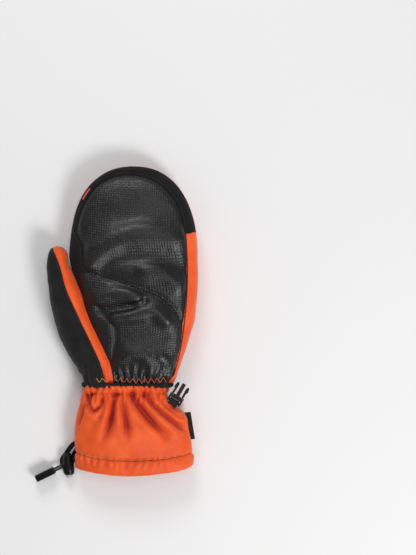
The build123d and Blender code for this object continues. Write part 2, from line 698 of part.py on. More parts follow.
with BuildPart() as buckle_webbing:  # webbing folded round the bar, both plies down to the seam
    with BuildSketch(across_bar(-WEBBING_WIDTH / 2)):
        Circle(WEBBING_OUTER)
    extrude(amount=WEBBING_WIDTH)
    with BuildSketch(Plane(origin=bar_centre, x_dir=buckle_side, z_dir=webbing_fall)):
        Rectangle(WEBBING_WIDTH, WEBBING_OUTER - WEBBING_INNER)
    extrude(amount=webbing_fall.length)
    with BuildSketch(across_bar(-WEBBING_WIDTH / 2 - 1)):
        Circle(WEBBING_INNER)
    extrude(amount=WEBBING_WIDTH + 2, mode=Mode.SUBTRACT)
    add(cuff_faces[0], mode=Mode.SUBTRACT)
    add(hand_faces[0], mode=Mode.SUBTRACT)
finish("buckle_webbing", buckle_webbing.part)
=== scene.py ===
"""Looks of the left-hand ski mitten. It lies on its back: +Z is the palm's normal, +Y runs to the
fingertips and the thumb is on the -X side. Lengths here are in millimetres until a mesh is made."""

import json
import math

import bpy
import numpy as np
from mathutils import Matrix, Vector, noise
from mathutils.bvhtree import BVHTree


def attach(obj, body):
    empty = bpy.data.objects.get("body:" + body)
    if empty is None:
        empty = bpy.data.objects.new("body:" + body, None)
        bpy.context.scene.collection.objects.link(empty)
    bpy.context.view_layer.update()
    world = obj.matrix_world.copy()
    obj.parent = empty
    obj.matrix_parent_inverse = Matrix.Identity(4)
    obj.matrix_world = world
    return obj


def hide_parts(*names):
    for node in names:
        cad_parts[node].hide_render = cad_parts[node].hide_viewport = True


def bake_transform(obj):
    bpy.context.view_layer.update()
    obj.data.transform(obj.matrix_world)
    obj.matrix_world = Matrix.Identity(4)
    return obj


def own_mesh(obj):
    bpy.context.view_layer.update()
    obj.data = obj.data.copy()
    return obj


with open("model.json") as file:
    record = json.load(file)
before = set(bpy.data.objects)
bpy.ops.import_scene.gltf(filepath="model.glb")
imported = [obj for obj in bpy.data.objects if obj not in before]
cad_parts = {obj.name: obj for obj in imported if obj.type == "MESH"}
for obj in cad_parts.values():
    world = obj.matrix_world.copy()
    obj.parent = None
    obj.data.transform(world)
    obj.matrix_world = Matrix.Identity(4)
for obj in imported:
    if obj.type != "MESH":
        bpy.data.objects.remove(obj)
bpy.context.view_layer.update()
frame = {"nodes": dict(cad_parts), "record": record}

MM = 0.001
FLEX_Y = -3.0
BACK_SEAM_Z = 12.0

# ------------------------------------------------------------------ sections of the padded forms
# y, left, right, bottom, top
HAND_TUBE = np.array((
    (-73.0, -17.0, 52.0, 0.6, 35.0),
    (-62.0, -18.0, 56.5, 0.3, 38.5),
    (-50.0, -20.0, 61.6, 0.2, 41.5),
    (-35.0, -26.0, 67.2, 0.0, 45.0),
    (-17.0, -33.0, 72.8, 0.0, 47.0),
    (-3.0, -39.0, 77.3, 0.0, 48.0),
    (15.0, -44.0, 79.4, 0.0, 48.0),
    (30.0, -48.0, 80.6, 0.0, 48.0),
    (48.0, -53.0, 81.2, 0.0, 48.0),
    (66.0, -57.0, 80.8, 0.0, 47.0),
))
HAND_END_LENGTH = 98.6
THUMB_TUBE = np.array((
    (-73.0, -42.5, -3.0, 1.0, 33.0),
    (-62.0, -43.5, -4.5, 1.0, 37.0),
    (-50.0, -50.0, -7.0, 1.0, 40.5),
    (-35.0, -59.0, -13.5, 1.0, 44.0),
    (-17.0, -67.5, -23.0, 1.5, 46.0),
    (-3.0, -72.2, -30.0, 1.5, 46.5),
    (15.0, -76.6, -38.0, 2.0, 45.5),
    (30.0, -78.8, -43.5, 2.5, 44.5),
    (47.0, -80.8, -51.0, 4.0, 42.5),
    (60.0, -81.2, -58.0, 6.0, 40.0),
))
THUMB_END_LENGTH = 19.4
CUFF_TUBE = np.array((
    (-69.0, -41.5, 52.0, 1.0, 35.5),
    (-75.0, -42.3, 50.5, 1.5, 34.5),
    (-80.0, -43.0, 50.0, 1.0, 34.5),
    (-90.0, -44.5, 53.5, 0.2, 37.5),
    (-100.0, -47.5, 65.0, 0.0, 39.0),
    (-120.0, -50.6, 70.6, 0.0, 40.0),
    (-140.0, -51.0, 74.8, 0.0, 39.5),
    (-152.0, -50.0, 76.0, 0.0, 38.0),
    (-170.0, -52.0, 74.0, 0.0, 35.0),
))

# ------------------------------------------------------------------ seam lines in plan
PALM_THUMB_SIDE = ((-13.0, -76.0), (-14.5, -49.5), (-24.0, -30.0), (-36.0, -6.0), (-45.0, 28.0),
                   (-49.5, 60.0))
PALM_TIP = ((-51.0, 92.0), (-42.0, 121.0), (-18.2, 149.0), (6.4, 155.0), (33.2, 149.5), (57.8, 126.5))
PALM_LITTLE_SIDE = ((68.5, 90.7), (70.1, 50.0), (67.4, 2.0), (59.9, -43.1), (49.0, -76.0))
PALM_SEAM = ((-51.4, 96.0), (-43.9, 82.1), (-36.4, 52.7), (-26.8, 47.9), (-7.9, 42.1), (11.2, 36.1),
             (28.5, 29.7), (39.6, 25.0), (49.2, 17.9), (58.8, 7.8), (66.0, -4.5))
THUMB_WEB = ((-26.0, 14.0), (-24.0, 9.4), (-15.5, 1.9), (-8.6, -6.7), (-6.4, -16.3), (-7.0, -25.9),
             (-8.6, -33.4), (-10.3, -43.1))
STRIPE_OUTER = ((-75.5, 79.0), (-66.3, 59.7), (-58.9, 34.0), (-47.1, 8.3), (-32.1, -23.8), (-21.4, -49.5),
                (-16.0, -76.0))


def smooth(keys, values, at):
    """Cubic interpolation through a table's values, without overshoot at its ends."""
    slope = np.gradient(values, keys)
    i = np.clip(np.searchsorted(keys, at) - 1, 0, len(keys) - 2)
    step = keys[i + 1] - keys[i]
    t = np.clip((at - keys[i]) / step, 0, 1)
    start = (2 * t**3 - 3 * t**2 + 1) * values[i] + (t**3 - 2 * t**2 + t) * step * slope[i]
    stop = (3 * t**2 - 2 * t**3) * values[i + 1] + (t**3 - t**2) * step * slope[i + 1]
    return start + stop


def curve(points, pitch=1.0):
    """A smooth plan line through these points, divided evenly."""
    points = np.array(points, float)
    keys = np.concatenate(([0], np.cumsum(np.linalg.norm(np.diff(points, axis=0), axis=1))))
    at = np.linspace(0, keys[-1], max(int(keys[-1] / pitch), 2))
    return np.stack([smooth(keys, points[:, k], at) for k in range(points.shape[1])], axis=1)


def distance(line, spots):
    """Distance in plan from each spot to a line."""
    best = np.full(len(spots), 1e9)
    for a, b in zip(line[:-1, :2], line[1:, :2]):
        along = b - a
        t = np.clip(((spots - a) @ along) / max(along @ along, 1e-9), 0, 1)
        best = np.minimum(best, np.linalg.norm(spots - a - t[:, None] * along, axis=1))
    return best


def inside(outline, spots):
    """True for each spot inside a closed plan outline."""
    x, y = spots[:, 0], spots[:, 1]
    odd = np.zeros(len(spots), bool)
    for (ax, ay), (bx, by) in zip(outline, np.roll(outline, -1, axis=0)):
        crosses = (ay > y) != (by > y)
        with np.errstate(divide="ignore", invalid="ignore"):
            odd ^= crosses & (x < (bx - ax) * (y - ay) / (by - ay) + ax)
    return odd


def signed(outline, spots):
    """Distance to a closed outline, positive inside it."""
    closed = np.vstack((outline, outline[:1]))
    return np.where(inside(outline, spots), 1, -1) * distance(closed, spots)


def centres(spots, faces):
    """The middle of each face."""
    return spots[faces].mean(axis=1)


def bell(d, width):
    """1 on a line, falling smoothly to 0 away from it."""
    return np.exp(-((d / width) ** 2))


def ramp(value, low, high):
    """0 below low, 1 above high and smooth between."""
    t = np.clip((value - low) / (high - low), 0, 1)
    return t * t * (3 - 2 * t)


def soft_limit(height, most):
    """Keeps a relief within this height and depth without flat tops."""
    return most * np.tanh(height / most)


def crumple(spots, size, seed):
    """Smooth random relief, about -1 to 1, with lumps of this size."""
    return np.array([noise.noise(Vector((x / size + seed, y / size, z / size))) for x, y, z in spots])


def section(left, right, bottom, top, count, power):
    """A closed cross-section with evenly spaced points, starting at the middle of its underside."""
    turn = np.linspace(-math.pi / 2, 1.5 * math.pi, 721)
    across = np.cos(turn)
    height = np.sin(turn)
    x = (left + right) / 2 + (right - left) / 2 * np.sign(across) * np.abs(across) ** (2 / power)
    mid = bottom + 0.45 * (top - bottom)
    reach = np.where(height > 0, top - mid, mid - bottom)
    z = mid + reach * np.sign(height) * np.abs(height) ** (2 / (power + 0.3))
    walk = np.concatenate(([0], np.cumsum(np.hypot(np.diff(x), np.diff(z)))))
    at = np.linspace(0, walk[-1], count, endpoint=False)
    return np.interp(at, walk, x), np.interp(at, walk, z)


def tube_rows(table, end_length, inset, pitch, end_power=2.3):
    """Rows of a tube that closes in a rounded end: y, left, right, bottom, top."""
    last = table[-1, 0]
    ys = np.arange(table[0, 0], last, pitch)
    columns = [smooth(table[:, 0], table[:, k], ys) for k in (1, 2, 3, 4)]
    rows = [[y] + [float(column[i]) for column in columns] for i, y in enumerate(ys)]
    _, left, right, bottom, top = table[-1]
    mid_x, mid_z = (left + right) / 2, bottom + 0.45 * (top - bottom)
    steps = int(end_length * 1.35 / pitch)
    for turn in np.linspace(0, math.pi / 2, steps)[:-1]:
        step = math.sin(turn) ** (2 / end_power)
        share = math.cos(turn) ** (2 / end_power)
        rows.append([
            last + end_length * step,
            mid_x + (left - mid_x) * share,
            mid_x + (right - mid_x) * share,
            mid_z + (bottom - mid_z) * share,
            mid_z + (top - mid_z) * share,
        ])
    rows = np.array(rows)
    rows[:, 1] += inset
    rows[:, 2] = np.maximum(rows[:, 2] - inset, rows[:, 1] + 0.4)
    rows[:, 3] += inset
    rows[:, 4] = np.maximum(rows[:, 4] - inset, rows[:, 3] + 0.4)
    rows[rows[:, 0] > last, 0] -= inset * 0.9
    return rows


def grid_faces(rows, count, closed_end):
    """Triangles of a tube of rows, with a fan at its closed end."""
    faces = []
    for r in range(rows - 1):
        for c in range(count):
            d = (c + 1) % count
            a, b, e, f = r * count + c, r * count + d, (r + 1) * count + d, (r + 1) * count + c
            if (r + c) % 2:
                faces += [(a, b, e), (a, e, f)]
            else:
                faces += [(a, b, f), (b, e, f)]
    if closed_end:
        tip = rows * count
        faces += [((rows - 1) * count + c, (rows - 1) * count + (c + 1) % count, tip) for c in range(count)]
    return np.array(faces)


def normals_of(spots, faces):
    """Smooth vertex normals."""
    a, b, c = (spots[faces[:, k]] for k in range(3))
    face_normal = np.cross(b - a, c - a)
    total = np.zeros_like(spots)
    for k in range(3):
        np.add.at(total, faces[:, k], face_normal)
    return total / np.maximum(np.linalg.norm(total, axis=1, keepdims=True), 1e-9)


def skin(rows, count, power=2.4, closed_end=True):
    """Points, triangles and outward normals of a soft tube."""
    spots = []
    for y, left, right, bottom, top in rows:
        x, z = section(left, right, bottom, top, count, power)
        spots.append(np.stack([x, np.full(count, y), z], axis=1))
    spots = np.concatenate(spots)
    if closed_end:
        spots = np.vstack((spots, spots[-count:].mean(axis=0)))
    faces = grid_faces(len(rows), count, closed_end)
    normals = normals_of(spots, faces)
    middle = spots.mean(axis=0)
    if ((spots - middle) * normals).sum() < 0:
        faces = faces[:, ::-1]
        normals = -normals
    return spots, faces, normals


def snap(spots, faces, level, movable):
    """Moves vertices beside the line where level is 0 onto it, so that no triangle lies on both sides."""
    edges = np.vstack((faces[:, :2], faces[:, 1:], faces[:, ::2]))
    edges = np.unique(np.sort(edges, axis=1), axis=0)
    a, b = edges[:, 0], edges[:, 1]
    crossing = (level[a] * level[b] < 0) & movable[a] & movable[b]
    a, b = a[crossing], b[crossing]
    swap = np.abs(level[a]) > np.abs(level[b])
    near, far = np.where(swap, b, a), np.where(swap, a, b)
    t = (level[near] / (level[near] - level[far]))[:, None]
    goal = spots[near] * (1 - t) + spots[far] * t
    order = np.argsort(-np.linalg.norm(goal - spots[near], axis=1))
    moved = spots.copy()
    moved[near[order]] = goal[order]
    level = level.copy()
    level[near] = 0
    return moved, level


def mesh_piece(name, spots, faces, material, body=None, thickness=0.0, painted_shade=None):
    """A Blender object from points in millimetres. Unused points are left out.
    The last argument, 0 to 1 for each point, says how much shade is painted into the colour where the cloth
    is folded in."""
    used = np.unique(np.concatenate([np.asarray(f) for f in faces])) if len(faces) else []
    renumber = {old: new for new, old in enumerate(used)}
    mesh = bpy.data.meshes.new(name)
    mesh.from_pydata(
        [tuple(p * MM) for p in np.asarray(spots)[used]], [], [[renumber[i] for i in f] for f in faces]
    )
    # Painted shade: this per-point value is stored on the mesh, and the orange cloth darkens its colour by
    # it in the folds.
    if painted_shade is not None:
        held = mesh.attributes.new("painted_shade", "FLOAT", "POINT")
        held.data.foreach_set("value", painted_shade[used].astype(np.float32))
    mesh.validate()
    mesh.polygons.foreach_set("use_smooth", [True] * len(mesh.polygons))
    mesh.materials.append(material)
    piece = bpy.data.objects.new(name, mesh)
    bpy.context.scene.collection.objects.link(piece)
    if thickness:
        wall = piece.modifiers.new("thickness", "SOLIDIFY")
        wall.thickness = thickness * MM
        wall.offset = -1
    if body:
        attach(piece, body)
    return piece


def tubes(name, paths, radius, material, body, sides=8, flatten=1.0):
    """One piece made of many round threads or cords, each with rounded ends."""
    spots, faces = [], []
    for path in paths:
        path = np.asarray(path, float)
        way = np.gradient(path, axis=0)
        way /= np.maximum(np.linalg.norm(way, axis=1, keepdims=True), 1e-9)
        side = np.cross(way, (0, 0, 1.0))
        side /= np.maximum(np.linalg.norm(side, axis=1, keepdims=True), 1e-9)
        up = np.cross(side, way)
        base = len(spots)
        rings = [(0, -0.9, 0.45), (0, -0.5, 0.85)] + [(i, 0, 1.0) for i in range(len(path))]
        rings += [(len(path) - 1, 0.5, 0.85), (len(path) - 1, 0.9, 0.45)]
        for i, push, share in rings:
            middle = path[i] + way[i] * push * radius
            for k in range(sides):
                turn = 2 * math.pi * k / sides
                out = side[i] * math.cos(turn) + up[i] * math.sin(turn) * flatten
                spots.append(middle + out * radius * share)
        for r in range(len(rings) - 1):
            for k in range(sides):
                m = (k + 1) % sides
                at = base + r * sides
                faces.append((at + k, at + m, at + sides + m, at + sides + k))
        faces.append([base + k for k in range(sides)][::-1])
        faces.append([base + (len(rings) - 1) * sides + k for k in range(sides)])
    return mesh_piece(name, np.array(spots), faces, material, body)


def ribbon(name, path, across, width, thickness, material, body):
    """A strap: a flat section with softened edges, carried along a path."""
    path = np.asarray(path, float)
    across = np.asarray(across, float)
    if across.ndim == 1:
        across = np.tile(across, (len(path), 1))
    across = across / np.linalg.norm(across, axis=1, keepdims=True)
    way = np.gradient(path, axis=0)
    way /= np.linalg.norm(way, axis=1, keepdims=True)
    up = np.cross(across, way)
    half, edge = width / 2, thickness / 2
    outline = []
    ribs = max(int(width / 1.6), 4)
    for k in range(ribs * 4 + 1):
        share = -1 + 2 * k / (ribs * 4)
        rib = 1 + 0.16 * math.cos(share * ribs * math.pi * 2)
        outline.append((share * (half - edge * 0.5), edge * rib))
    outline += [(half, edge * 0.5), (half, -edge * 0.5)]
    outline += [(a, -b) for a, b in outline[: ribs * 4 + 1][::-1]]
    outline += [(-half, -edge * 0.5), (-half, edge * 0.5)]
    n = len(outline)
    spots = [path[i] + across[i] * a + up[i] * b for i in range(len(path)) for a, b in outline]
    faces = []
    for row in range(len(path) - 1):
        for k in range(n):
            m = (k + 1) % n
            start, stop = row * n, (row + 1) * n
            faces.append((start + k, start + m, stop + m, stop + k))
    faces.append(list(range(n))[::-1])
    faces.append([(len(path) - 1) * n + k for k in range(n)])
    return mesh_piece(name, np.array(spots), faces, material, body)


# ------------------------------------------------------------------ materials
def new_material(name, color, roughness, sheen=0.0, coat=0.0, specular=0.5):
    """A principled material, ready for colour and relief nodes."""
    material = bpy.data.materials.new(name)
    material.use_nodes = True
    shader = material.node_tree.nodes["Principled BSDF"]
    shader.inputs["Base Color"].default_value = (*color, 1)
    shader.inputs["Roughness"].default_value = roughness
    shader.inputs["Sheen Weight"].default_value = sheen
    shader.inputs["Sheen Roughness"].default_value = 0.5
    shader.inputs["Coat Weight"].default_value = coat
    shader.inputs["Specular IOR Level"].default_value = specular
    return material, shader


def node(material, kind, links=(), **settings):
    """Adds a node; links are (input name, socket) pairs."""
    made = material.node_tree.nodes.new(kind)
    for key, value in settings.items():
        if hasattr(made, key):
            setattr(made, key, value)
        else:
            made.inputs[key.replace("_", " ").title()].default_value = value
    for name, socket in links:
        material.node_tree.links.new(made.inputs[name], socket)
    return made


def colour_noise(material, shader, low, high, scale, detail=4.0):
    """Mottles the base colour between two colours."""
    place = node(material, "ShaderNodeTexCoord")
    cloud = node(material, "ShaderNodeTexNoise", [("Vector", place.outputs["Object"])],
                 scale=scale, detail=detail)
    tone = node(material, "ShaderNodeValToRGB", [("Fac", cloud.outputs["Fac"])])
    tone.color_ramp.elements[0].position = 0.32
    tone.color_ramp.elements[1].position = 0.68
    tone.color_ramp.elements[0].color = (*low, 1)
    tone.color_ramp.elements[1].color = (*high, 1)
    material.node_tree.links.new(shader.inputs["Base Color"], tone.outputs["Color"])
    return place


def relief(material, shader, layers):
    """Stacks bump layers: (height socket, depth in metres)."""
    below = None
    for height, depth in layers:
        bump = node(material, "ShaderNodeBump", [("Height", height)])
        bump.inputs["Strength"].default_value = 1.0
        bump.inputs["Distance"].default_value = depth
        if below:
            material.node_tree.links.new(bump.inputs["Normal"], below)
        below = bump.outputs["Normal"]
    material.node_tree.links.new(shader.inputs["Normal"], below)


def noise_height(material, place, scale, detail=4.0):
    cloud = node(material, "ShaderNodeTexNoise", [("Vector", place.outputs["Object"])],
                 scale=scale, detail=detail)
    return cloud.outputs["Fac"]


def wave_height(material, place, turn, scale, distortion=0.4):
    """Even ribs, turned about the vertical."""
    mapping = node(material, "ShaderNodeMapping", [("Vector", place.outputs["Object"])])
    mapping.inputs["Rotation"].default_value = (0.35, 0.25, turn)
    wave = node(material, "ShaderNodeTexWave", [("Vector", mapping.outputs["Vector"])], scale=scale)
    wave.inputs["Distortion"].default_value = distortion
    wave.inputs["Detail"].default_value = 1.0
    return wave.outputs["Fac"]


def leather_material():
    """Grip leather: even rows of small raised dots over a soft grain."""
    material, shader = new_material("palm_leather", (0.012, 0.012, 0.013), 0.36, specular=0.5)
    place = node(material, "ShaderNodeTexCoord")
    bend = node(material, "ShaderNodeTexNoise", [("Vector", place.outputs["Object"])],
                scale=9.0, detail=1.0)
    shift = node(material, "ShaderNodeVectorMath", [("Vector", bend.outputs["Color"])],
                 operation="SCALE")
    shift.inputs["Scale"].default_value = 0.03
    bent = node(material, "ShaderNodeVectorMath", operation="ADD")
    material.node_tree.links.new(bent.inputs[0], place.outputs["Object"])
    material.node_tree.links.new(bent.inputs[1], shift.outputs["Vector"])
    flat = node(material, "ShaderNodeMapping", [("Vector", bent.outputs["Vector"])])
    flat.inputs["Scale"].default_value = (1.0, 1.0, 0.02)
    dots = node(material, "ShaderNodeTexVoronoi", [("Vector", flat.outputs["Vector"])], scale=380.0)
    dots.inputs["Randomness"].default_value = 0.18
    dome = node(material, "ShaderNodeMapRange", [("Value", dots.outputs["Distance"])])
    dome.inputs["From Min"].default_value = 0.15
    dome.inputs["From Max"].default_value = 0.55
    dome.inputs["To Min"].default_value = 1.0
    dome.inputs["To Max"].default_value = 0.0
    tone = node(material, "ShaderNodeValToRGB", [("Fac", dome.outputs["Result"])])
    tone.color_ramp.elements[0].color = (0.0015, 0.0015, 0.002, 1)
    tone.color_ramp.elements[1].color = (0.011, 0.011, 0.012, 1)
    material.node_tree.links.new(shader.inputs["Base Color"], tone.outputs["Color"])
    rough = node(material, "ShaderNodeMapRange", [("Value", noise_height(material, place, 220))])
    rough.inputs["To Min"].default_value = 0.33
    rough.inputs["To Max"].default_value = 0.41
    material.node_tree.links.new(shader.inputs["Roughness"], rough.outputs["Result"])
    relief(material, shader, [
        (noise_height(material, place, 120), 0.0003),
        (dome.outputs["Result"], 0.0004),
        (noise_height(material, place, 1800), 0.00005),
    ])
    return material


def cloth_material(name, low, high, roughness, sheen, ribs, depth, mottling=70):
    """A woven or napped cloth. ribs are (turn, scale) pairs."""
    material, shader = new_material(name, high, roughness, sheen=sheen, specular=0.3)
    place = colour_noise(material, shader, low, high, mottling)
    layers = [(noise_height(material, place, 160), 0.0006)]
    layers += [(wave_height(material, place, turn, scale), depth) for turn, scale in ribs]
    layers.append((noise_height(material, place, 2600), 0.00012))
    relief(material, shader, layers)
    return material


def plastic_material(name, color, roughness, coat=0.03):
    material, shader = new_material(name, color, roughness, coat=coat, specular=0.2)
    shader.inputs["Coat Roughness"].default_value = 0.12
    low = tuple(0.8 * c for c in color)
    place = colour_noise(material, shader, low, color, 180)
    relief(material, shader, [(noise_height(material, place, 900), 0.00003)])
    return material


LEATHER = leather_material()
SUEDE = cloth_material("suede", (0.005, 0.005, 0.0055), (0.012, 0.012, 0.0125), 0.95, 0.08, (), 0)
SOFTSHELL = cloth_material("softshell", (0.003, 0.003, 0.0035), (0.006, 0.006, 0.0065), 0.88, 0.02,
                           ((0.6, 700), (-0.9, 700)), 0.00005)
ORANGE = cloth_material("orange_twill", (0.78, 0.078, 0.008), (0.92, 0.118, 0.014), 0.42, 0.1,
                        ((0.8, 420),), 0.00010, mottling=45)
# Painted shade: the orange twill's colour is mixed towards a deep red by the per-point shade value, so the
# cuff's folds look darker.
orange_shader = ORANGE.node_tree.nodes["Principled BSDF"]
orange_tone = orange_shader.inputs["Base Color"].links[0].from_socket
painted_shade_amount = node(ORANGE, "ShaderNodeAttribute", attribute_name="painted_shade")
orange_with_painted_shade = node(ORANGE, "ShaderNodeMix", data_type="RGBA")
ORANGE.node_tree.links.new(orange_with_painted_shade.inputs["Factor"], painted_shade_amount.outputs["Fac"])
ORANGE.node_tree.links.new(orange_with_painted_shade.inputs[6], orange_tone)
orange_with_painted_shade.inputs[7].default_value = (0.36, 0.012, 0.010, 1)
ORANGE.node_tree.links.new(orange_shader.inputs["Base Color"], orange_with_painted_shade.outputs[2])
GREY = cloth_material("grey_twill", (0.035, 0.035, 0.04), (0.06, 0.06, 0.066), 0.8, 0.2,
                      ((0.8, 420),), 0.0001)
WADDING = cloth_material("wadding", (0.62, 0.62, 0.6), (0.8, 0.8, 0.78), 0.95, 0.3, (), 0)
FLEECE = cloth_material("fleece", (0.008, 0.008, 0.009), (0.02, 0.02, 0.022), 0.95, 0.4,
                        (), 0, mottling=400)
WEBBING = cloth_material("webbing", (0.005, 0.005, 0.0055), (0.012, 0.012, 0.013), 0.7, 0.05,
                         ((0.2, 500), (1.77, 500)), 0.0001)
PIPING = cloth_material("dark_red_piping", (0.09, 0.008, 0.008), (0.17, 0.014, 0.012), 0.6, 0.2,
                        ((0.3, 900),), 5e-5)
ORANGE_THREAD = cloth_material("orange_thread", (0.6, 0.11, 0.03), (0.8, 0.18, 0.05), 0.6, 0.1,
                               ((0.3, 2500),), 5e-5)
TAN_THREAD = cloth_material("tan_thread", (0.55, 0.2, 0.07), (0.78, 0.34, 0.13), 0.6, 0.1,
                            ((0.3, 2500),), 5e-5)
BLACK_THREAD = cloth_material("black_thread", (0.012, 0.012, 0.014), (0.035, 0.035, 0.038), 0.55, 0.1,
                              ((0.3, 2500),), 5e-5)
CORD = cloth_material("elastic_cord", (0.012, 0.012, 0.013), (0.03, 0.03, 0.032), 0.7, 0.1,
                      ((0.5, 900),), 1e-4)
BLACK_PLASTIC = plastic_material("black_plastic", (0.003, 0.003, 0.0035), 0.36)
GREY_PLASTIC = plastic_material("grey_plastic", (0.5, 0.5, 0.52), 0.35)
STEEL, steel_shader = new_material("spring_steel", (0.6, 0.6, 0.6), 0.3)
steel_shader.inputs["Metallic"].default_value = 1.0

# ------------------------------------------------------------------ hand
palm_outline = np.vstack((curve(PALM_THUMB_SIDE + PALM_TIP + PALM_LITTLE_SIDE, 1.5),))
palm_seam = curve(PALM_SEAM, 1.2)
stripe_line = curve(STRIPE_OUTER, 1.2)
HAND_PITCH = 1.3
HAND_COUNT = 288


# Swellings and hollows of the palm: line in plan, width, height
PALM_PUFFS = (
    (((-34.0, 58.0), (-22.0, 76.0), (0.0, 88.0), (30.0, 93.0), (58.0, 88.0)), 11.0, 5.2),
    (((-30.0, 46.0), (-8.0, 62.0), (18.0, 68.0), (42.0, 64.0), (62.0, 56.0)), 9.0, -3.0),
    (((26.0, 52.0), (44.0, 50.0), (60.0, 38.0)), 9.0, 4.0),
    (((-44.0, 92.0), (-22.0, 106.0), (20.0, 114.0), (54.0, 108.0)), 13.0, -2.6),
    (((-24.0, 23.0), (-10.0, 28.0), (8.0, 27.0), (18.0, 22.0)), 7.0, 4.6),
    (((-22.0, 10.0), (-4.0, 12.0), (12.0, 15.0), (24.0, 20.0)), 4.5, -4.4),
    (((-6.0, 2.0), (14.0, 5.0), (34.0, 9.0), (48.0, 0.0)), 7.0, 3.8),
    (((-2.0, -14.0), (16.0, -11.0), (40.0, -16.0)), 10.0, -2.6),
    (((-2.0, -44.0), (12.0, -36.0), (26.0, -40.0), (32.0, -54.0)), 7.0, 3.6),
    (((42.0, -40.0), (49.0, -47.0), (48.0, -58.0)), 6.0, 2.8),
)


def hand_relief(spots, normals):
    """Padding, seams and creases of the hand, as a height along the normal."""
    plan = spots[:, :2]
    x, y, z = spots.T
    upper = ramp(z, 18, 32)
    facing = 0.25 + 0.75 * ramp(np.abs(normals[:, 2]), 0.15, 0.7)
    edge = distance(np.vstack((palm_outline, palm_outline[:1])), plan)
    seam = distance(palm_seam, plan)
    coarse, fine = 1.2 * crumple(spots, 46, 3.1), 0.6 * crumple(spots, 20, 7.7)
    height = facing * (coarse + fine + 0.2 * crumple(spots, 8, 1.3))
    for points, width, swell in PALM_PUFFS:
        height += upper * swell * bell(distance(curve(points, 3.0), plan), width)
    # padding swells between the seams and the seams pull it in
    height += upper * (1.2 * (1 - bell(seam, 12)) - 2.0 * bell(seam - 0.6, 3.4))
    height -= upper * 1.7 * bell(edge, 3.0)
    height -= upper * 1.8 * bell(distance(curve(THUMB_WEB, 1.5), plan), 3.0)
    height -= 1.1 * bell(z - BACK_SEAM_Z, 2.6)
    # gathers at the wrist, fanning out from the band
    gather = 1 - ramp(y, -69, -40)
    fan = (x - 12) / (1 + 0.012 * (y + 72)) + 3.2 * crumple(spots, 22, 5.5)
    height += 1.5 * gather * np.sin(fan * 2 * math.pi / 7.6) + 1.3 * gather * crumple(spots, 9, 2.2)
    height -= 2.2 * bell(y + 73, 6)
    height -= upper * 1.2
    return soft_limit(height, 4.6)


def panel_piece(name, mask, spots, faces, material, nodes, body="mitten", thickness=0.9, painted_shade=None):
    """One sewn panel of a skin, standing for its CAD nodes; its last argument carries the painted shade of
    its folds.
    """
    piece = mesh_piece(name, spots, faces[mask], material, body, thickness, painted_shade)
    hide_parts(*nodes)
    return piece


hand_rows = tube_rows(HAND_TUBE, HAND_END_LENGTH, 0.0, HAND_PITCH)
hand_spots, hand_faces, hand_normals = skin(hand_rows, HAND_COUNT)
on_top = hand_spots[:, 2] > 16
hand_spots, _ = snap(hand_spots, hand_faces, signed(palm_outline, hand_spots[:, :2]), on_top)
hand_spots, _ = snap(hand_spots, hand_faces, hand_spots[:, 2] - BACK_SEAM_Z, ~on_top)


def seam_level(spots):
    """Positive above the seam across the palm, negative below it."""
    line_y = np.interp(spots[:, 0], palm_seam[10:, 0], palm_seam[10:, 1])
    return spots[:, 1] - line_y


hand_spots, _ = snap(hand_spots, hand_faces, seam_level(hand_spots), on_top)
wedge_level = hand_spots[:, 0] - np.interp(hand_spots[:, 1], palm_seam[::-1, 1], palm_seam[::-1, 0])
by_wedge = on_top & (hand_spots[:, 1] > 48) & (hand_spots[:, 1] < 98)
hand_spots, _ = snap(hand_spots, hand_faces, wedge_level, by_wedge)
centre = centres(hand_spots, hand_faces)
in_palm = (signed(palm_outline, centre[:, :2]) > 0) & (centre[:, 2] > 16)
wedge_x = np.interp(centre[:, 1], palm_seam[::-1, 1], palm_seam[::-1, 0])
in_wedge = (centre[:, 0] < wedge_x) & (centre[:, 1] > 50) & (centre[:, 1] < 96)
in_palm &= ~in_wedge
above_seam = seam_level(centre) > 0
low = centre[:, 2] < BACK_SEAM_Z
right = centre[:, 0] > 12
cap_end = np.where(right, 91.0 + 0.28 * (centre[:, 0] - 68), 137.0)
cap = ~low & ~in_palm & (centre[:, 1] > cap_end)
hand_panels = (
    ("palm_upper", in_palm & above_seam, LEATHER, ["palm_upper_panel"]),
    ("palm_lower", in_palm & ~above_seam, LEATHER, ["palm_lower_panel"]),
    ("fingertip_band", cap, SOFTSHELL, ["fingertip_cap"]),
    ("little_finger_side", ~low & ~in_palm & ~cap & right, ORANGE, ["little_finger_gusset"]),
    ("index_side", ~low & ~in_palm & ~cap & ~right, SOFTSHELL, ["index_side_gusset"]),
    ("back", low & (centre[:, 1] > -38), ORANGE, ["back_panel"]),
    ("back_wrist", low & (centre[:, 1] <= -38), GREY, ["back_wrist_panel"]),
)
hand_spots += hand_normals * hand_relief(hand_spots, hand_normals)[:, None]
hand_spots[:, 2] = np.maximum(hand_spots[:, 2], 0.15)
for name, mask, material, nodes in hand_panels:
    panel_piece(name, mask, hand_spots, hand_faces, material, nodes)

# ------------------------------------------------------------------ thumb, from the wrist to its tip
THUMB_COUNT = 150


def thumb_relief(spots):
    """Creases and seams of the thumb."""
    plan = spots[:, :2]
    x, y, z = spots.T
    height = 0.9 * crumple(spots, 26, 12.1) + 0.5 * crumple(spots, 11, 4.4) + 0.22 * crumple(spots, 5, 8.8)
    height -= ramp(z, 20, 30) * 1.2 * bell(distance(stripe_line, plan), 2.6)
    gather = 1 - ramp(y, -68, -38)
    height += 0.9 * gather * np.sin(x * 2 * math.pi / 6.0 + 2.5 * crumple(spots, 20, 6.6))
    height -= 2.2 * bell(y + 73, 6)
    return height


thumb_rows = tube_rows(THUMB_TUBE, THUMB_END_LENGTH, 0.0, 1.2)
thumb_spots, thumb_faces, thumb_normals = skin(thumb_rows, THUMB_COUNT, power=2.2)


def stripe_level(spots):
    """Positive on the palm's side of the seam beside the suede."""
    line_x = np.interp(spots[:, 1], stripe_line[::-1, 1], stripe_line[::-1, 0])
    return spots[:, 0] - line_x


